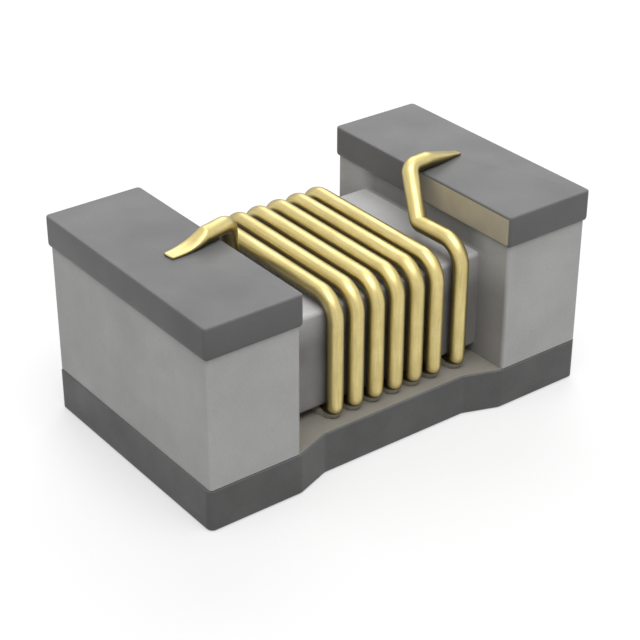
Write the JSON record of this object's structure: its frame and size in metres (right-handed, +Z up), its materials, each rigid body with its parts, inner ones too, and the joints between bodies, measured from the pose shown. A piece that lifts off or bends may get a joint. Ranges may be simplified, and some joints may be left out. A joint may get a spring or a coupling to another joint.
{
  "type": "wire-wound chip inductor",
  "caption": "Tiny wire-wound chip inductor: H-shaped ceramic core with a metal terminal on each flange, enamelled copper winding and a flat resin cover plate.",
  "frame": {"origin": "middle of the cover plate's underside, which the part lies on", "axes": "+X along the part's length, from the terminal with the longer wire kink to the other; +Y across its width; +Z up from the cover plate to the soldering faces of the terminals"},
  "size_m": [0.002, 0.0012, 0.001],
  "materials": {
    "core_ceramic": "fine fired alumina, matt",
    "terminal_tin": "plated tin over metallised ceramic, satin",
    "wire": "enamelled copper wire, pale gold, glossy",
    "cover_resin": "moulded grey resin, semi-gloss"
  },
  "bodies": {
    "root": {"ceramic_core": "core_ceramic", "near_terminal": "terminal_tin", "far_terminal": "terminal_tin", "winding": "wire", "cover_plate": "cover_resin"}
  },
  "joints": []
}
